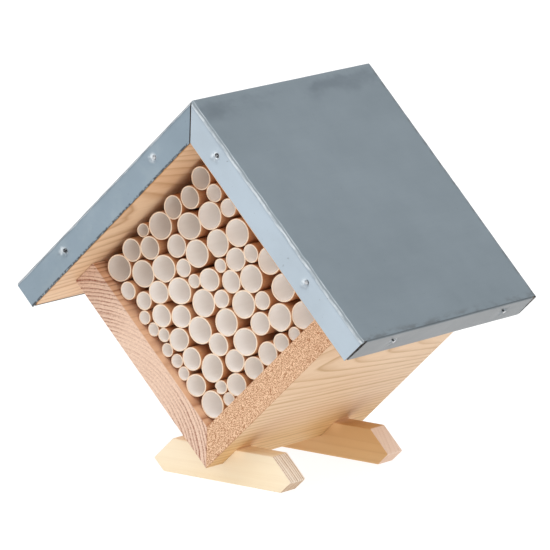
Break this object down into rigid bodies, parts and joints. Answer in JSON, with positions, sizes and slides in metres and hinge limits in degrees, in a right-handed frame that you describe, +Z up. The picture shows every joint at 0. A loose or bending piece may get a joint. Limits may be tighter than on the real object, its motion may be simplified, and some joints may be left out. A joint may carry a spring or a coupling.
{
  "type": "insect hotel",
  "caption": "Square wooden box standing on one corner in two notched feet, packed with open bamboo canes, under a folded metal roof that overhangs the front and both sides.",
  "frame": {"origin": "on the ground, at the middle of the object's outer box", "axes": "+Z up, +X to the right seen from the front, +Y towards the back; the canes open towards -Y"},
  "size_m": [0.2122, 0.154, 0.1973],
  "materials": {
    "zinc_sheet": "dull zinc-coated sheet, soft folds",
    "pin_steel": "bright domed heads",
    "roof_wood": "planed softwood, bare",
    "box_wood": "planed softwood, bare, sawn ends",
    "foot_wood": "pale planed softwood batten",
    "panel_wood": "thin plywood",
    "bamboo": "cut bamboo cane, pale bore, tan skin"
  },
  "bodies": {
    "root": {"back_panel": "panel_wood", "cane_56": "bamboo", "cane_57": "bamboo", "cane_64": "bamboo", "cane_66": "bamboo", "cane_67": "bamboo", "canes_01_02": "bamboo", "canes_03_04": "bamboo", "canes_06_05": "bamboo", "canes_08_07": "bamboo", "canes_10_09": "bamboo", "canes_11_19": "bamboo", "canes_12_20": "bamboo", "canes_13_14": "bamboo", "canes_15_24": "bamboo", "canes_17_16": "bamboo", "canes_18_25": "bamboo", "canes_21_22": "bamboo", "canes_23_31": "bamboo", "canes_26_27": "bamboo", "canes_28_34": "bamboo", "canes_32_40": "bamboo", "canes_33_41": "bamboo", "canes_35_48": "bamboo", "canes_36_29": "bamboo", "canes_37_44": "bamboo", "canes_38_30": "bamboo", "canes_39_45": "bamboo", "canes_42_43": "bamboo", "canes_46_51": "bamboo", "canes_47_52": "bamboo", "canes_50_49": "bamboo", "canes_53_58": "bamboo", "canes_59_54": "bamboo", "canes_60_55": "bamboo", "canes_62_61": "bamboo", "canes_63_74": "bamboo", "canes_68_69": "bamboo", "canes_70_71": "bamboo", "canes_72_65": "bamboo", "canes_73_75": "bamboo", "foot_back": "foot_wood", "foot_front": "foot_wood", "lower_board_left": "box_wood", "lower_board_right": "box_wood", "pin_back_left_1": "pin_steel", "pin_back_left_2": "pin_steel", "pin_back_right_1": "pin_steel", "pin_back_right_2": "pin_steel", "pin_eave_left_1": "pin_steel", "pin_eave_left_2": "pin_steel", "pin_eave_right_1": "pin_steel", "pin_eave_right_2": "pin_steel", "pin_front_left_1": "pin_steel", "pin_front_left_2": "pin_steel", "pin_front_right_1": "pin_steel", "pin_front_right_2": "pin_steel", "roof_board_left": "roof_wood", "roof_board_right": "roof_wood", "roof_sheet": "zinc_sheet"}
  },
  "joints": []
}
